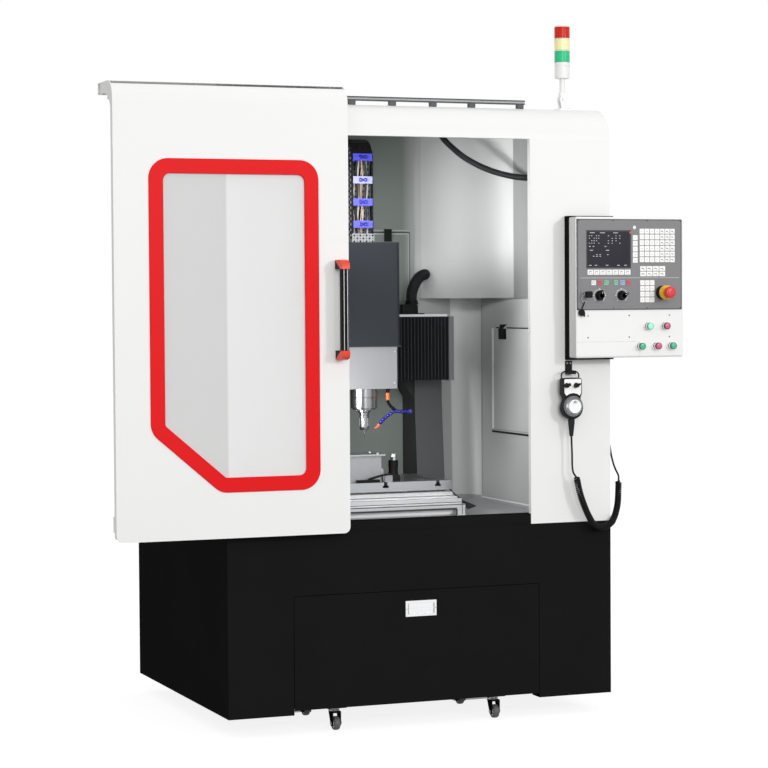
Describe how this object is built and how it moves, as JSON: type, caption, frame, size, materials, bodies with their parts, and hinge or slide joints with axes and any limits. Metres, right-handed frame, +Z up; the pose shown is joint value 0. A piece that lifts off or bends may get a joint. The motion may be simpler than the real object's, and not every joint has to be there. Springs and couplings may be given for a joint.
{
  "type": "enclosed cnc engraving and milling machine",
  "caption": "Floor-standing enclosed CNC engraving and milling machine with a sliding windowed door, gantry spindle, T-slot table, control box and roll-out coolant cart.",
  "frame": {"origin": "on the floor, at the centre of the rectangle of the four levelling mounts' anchor holes", "axes": "+Z up, +Y towards the rear of the machine, +X to the right as seen by the operator"},
  "size_m": [2.168, 1.365, 2.568],
  "materials": {
    "white_paint": "satin powder coat",
    "grey_paint": "satin grey-white powder coat",
    "black_paint": "fine-textured black powder coat",
    "lining_paint": "satin greenish grey paint on sheet",
    "casting_paint": "dark grey machine enamel on iron castings",
    "bright_steel": "ground and brushed steel",
    "silver_paint": "silver enamel on the head casting",
    "zinc_steel": "zinc plated steel",
    "slate_paint": "satin slate enamel",
    "red_trim": "semi-gloss red moulding",
    "window_glass": "clear laminated pane, lightly tinted",
    "panel_grey": "matt grey membrane fascia",
    "screen_black": "dark glossy screen, off",
    "black_plastic": "matt black plastic",
    "black_rubber": "matt black rubber and cable jacket",
    "bellows_fabric": "coated folding fabric",
    "blue_hose": "glossy blue segmented hose",
    "chrome": "bright chrome",
    "wheel_grey": "grey rubber tread",
    "lamp_lenses": "translucent coloured lenses",
    "green_button": "glossy green",
    "mint_button": "glossy pale green",
    "red_button": "glossy red"
  },
  "bodies": {
    "machine": {"base_shell": "black_paint", "levelling_mounts": "zinc_steel", "bed_casting": "casting_paint", "gantry": "casting_paint", "cabinet_front": "white_paint", "cabinet_panels": "white_paint", "lining": "lining_paint", "splash_tray": "lining_paint", "roof_rail": "zinc_steel", "control_frame": "black_paint", "control_box": "grey_paint", "controller_panel": "panel_grey", "display": "screen_black", "panel_fittings": "chrome", "pendant_holder": "black_plastic", "pendant_body": "black_plastic", "pendant_lead": "black_rubber", "pendant_coil": "black_rubber", "pendant_tail": "black_rubber", "cord_glands": "black_plastic", "tower_bracket": "zinc_steel", "interior_hoses": "black_rubber", "beam_bellows": "bellows_fabric"},
    "carriage": {"x_carriage": "casting_paint", "z_chain": "black_plastic"},
    "head": {"head_cover": "slate_paint", "head_block": "silver_paint", "spindle_housing": "bright_steel", "coolant_line": "blue_hose"},
    "rotor": {"spindle_rotor": "bright_steel"},
    "table": {"work_table": "bright_steel", "table_fixtures": "bright_steel"},
    "middle_cover": {"way_cover": "bright_steel"},
    "x_screw_body": {"x_screw": "bright_steel"},
    "y_screw_body": {"y_screw": "bright_steel"},
    "z_screw_body": {"z_screw": "bright_steel"},
    "door": {"door_shell": "white_paint", "window_frame": "red_trim", "window_glass": "window_glass", "door_handle": "black_plastic"},
    "cart": {"cart_body": "black_paint", "cart_handle": "chrome"},
    "fork_left": {"castor_fork_left": "black_paint"},
    "fork_right": {"castor_fork_right": "black_paint"},
    "wheel_left": {"castor_wheel_left": "wheel_grey"},
    "wheel_right": {"castor_wheel_right": "wheel_grey"},
    "wheels_rear": {"rear_wheels": "wheel_grey"},
    "tower": {"tower_mast": "grey_paint", "tower_lenses": "lamp_lenses"},
    "mint_button": {"button_mint": "mint_button"},
    "upper_red_button": {"button_red_upper": "red_button"},
    "left_green_button": {"button_green_left": "green_button"},
    "lower_red_button": {"button_red_lower": "red_button"},
    "right_green_button": {"button_green_right": "green_button"},
    "estop": {"estop_button": "red_button"},
    "left_knob": {"knob_left": "black_plastic"},
    "right_knob": {"knob_right": "black_plastic"},
    "key": {"switch_key": "black_plastic"},
    "pulse_wheel": {"handwheel": "zinc_steel"},
    "service_door": {"rear_door": "white_paint"}
  },
  "joints": [
    {"name": "door_slide", "type": "slide", "parent": "machine", "child": "door", "axis": [1, 0, 0], "range_m": [0, 0.79]},
    {"name": "x_axis", "type": "slide", "parent": "machine", "child": "carriage", "axis": [1, 0, 0], "range_m": [-0.18, 0.3], "deforming": ["beam_bellows"]},
    {"name": "y_axis", "type": "slide", "parent": "machine", "child": "table", "axis": [0, 1, 0], "range_m": [-0.06, 0.16]},
    {"name": "z_axis", "type": "slide", "parent": "carriage", "child": "head", "axis": [0, 0, 1], "range_m": [-0.05, 0.15], "deforming": ["z_chain"]},
    {"name": "spindle_spin", "type": "hinge", "parent": "head", "child": "rotor", "pos_m": [-0.061, -0.3, 1.2], "axis": [0, 0, 1], "continuous": true},
    {"name": "middle_cover_slide", "type": "slide", "parent": "machine", "child": "middle_cover", "axis": [0, 1, 0], "range_m": [-0.03, 0.08]},
    {"name": "x_screw_spin", "type": "hinge", "parent": "machine", "child": "x_screw_body", "pos_m": [0, -0.005, 1.36], "axis": [1, 0, 0], "continuous": true},
    {"name": "y_screw_spin", "type": "hinge", "parent": "machine", "child": "y_screw_body", "pos_m": [0, -0.15, 0.764], "axis": [0, 1, 0], "continuous": true},
    {"name": "z_screw_spin", "type": "hinge", "parent": "carriage", "child": "z_screw_body", "pos_m": [-0.061, -0.152, 1.4], "axis": [0, 0, 1], "continuous": true},
    {"name": "cart_slide", "type": "slide", "parent": "machine", "child": "cart", "axis": [0, -1, 0], "range_m": [0, 0.6]},
    {"name": "castor_swivel_left", "type": "hinge", "parent": "cart", "child": "fork_left", "pos_m": [-0.333, -0.688, 0.074], "axis": [0, 0, 1], "continuous": true},
    {"name": "castor_swivel_right", "type": "hinge", "parent": "cart", "child": "fork_right", "pos_m": [0.292, -0.688, 0.074], "axis": [0, 0, 1], "continuous": true},
    {"name": "castor_roll_left", "type": "hinge", "parent": "fork_left", "child": "wheel_left", "pos_m": [-0.333, -0.705, 0.025], "axis": [1, 0, 0], "continuous": true},
    {"name": "castor_roll_right", "type": "hinge", "parent": "fork_right", "child": "wheel_right", "pos_m": [0.292, -0.705, 0.025], "axis": [1, 0, 0], "continuous": true},
    {"name": "rear_castor_roll", "type": "hinge", "parent": "cart", "child": "wheels_rear", "pos_m": [0, -0.38, 0.025], "axis": [1, 0, 0], "continuous": true},
    {"name": "tower_fold", "type": "hinge", "parent": "machine", "child": "tower", "pos_m": [0.629, -0.6, 2.292], "axis": [0, 1, 0], "range_deg": [0, 90]},
    {"name": "mint_press", "type": "slide", "parent": "machine", "child": "mint_button", "axis": [0, 1, 0], "range_m": [0, 0.004], "stiffness_N_per_m": 600, "springref_m": -0.002},
    {"name": "upper_red_press", "type": "slide", "parent": "machine", "child": "upper_red_button", "axis": [0, 1, 0], "range_m": [0, 0.004], "stiffness_N_per_m": 600, "springref_m": -0.002},
    {"name": "left_green_press", "type": "slide", "parent": "machine", "child": "left_green_button", "axis": [0, 1, 0], "range_m": [0, 0.004], "stiffness_N_per_m": 600, "springref_m": -0.002},
    {"name": "lower_red_press", "type": "slide", "parent": "machine", "child": "lower_red_button", "axis": [0, 1, 0], "range_m": [0, 0.004], "stiffness_N_per_m": 600, "springref_m": -0.002},
    {"name": "right_green_press", "type": "slide", "parent": "machine", "child": "right_green_button", "axis": [0, 1, 0], "range_m": [0, 0.004], "stiffness_N_per_m": 600, "springref_m": -0.002},
    {"name": "estop_press", "type": "slide", "parent": "machine", "child": "estop", "axis": [0, 1, 0], "range_m": [0, 0.006]},
    {"name": "left_knob_turn", "type": "hinge", "parent": "machine", "child": "left_knob", "pos_m": [0.655, -0.86, 1.556], "axis": [0, 1, 0], "range_deg": [-140, 140]},
    {"name": "right_knob_turn", "type": "hinge", "parent": "machine", "child": "right_knob", "pos_m": [0.746, -0.86, 1.556], "axis": [0, 1, 0], "range_deg": [-140, 140]},
    {"name": "key_turn", "type": "hinge", "parent": "machine", "child": "key", "pos_m": [0.6, -0.86, 1.56], "axis": [0, 1, 0], "range_deg": [0, 90]},
    {"name": "pulse_wheel_spin", "type": "hinge", "parent": "machine", "child": "pulse_wheel", "pos_m": [0.568, -0.816, 1.15], "axis": [0, 1, 0], "continuous": true},
    {"name": "service_door_swing", "type": "hinge", "parent": "machine", "child": "service_door", "pos_m": [-0.386, 0.418, 1.4], "axis": [0, 0, 1], "range_deg": [0, 110]}
  ],
  "couplings": [
    {"joint": "middle_cover_slide", "follows": "y_axis", "ratio": 0.5},
    {"joint": "x_screw_spin", "follows": "x_axis", "rad_per_m": 628.32},
    {"joint": "y_screw_spin", "follows": "y_axis", "rad_per_m": 628.32},
    {"joint": "z_screw_spin", "follows": "z_axis", "rad_per_m": 628.32},
    {"joint": "castor_roll_left", "follows": "cart_slide", "rad_per_m": 40},
    {"joint": "castor_roll_right", "follows": "cart_slide", "rad_per_m": 40},
    {"joint": "rear_castor_roll", "follows": "cart_slide", "rad_per_m": 40}
  ]
}
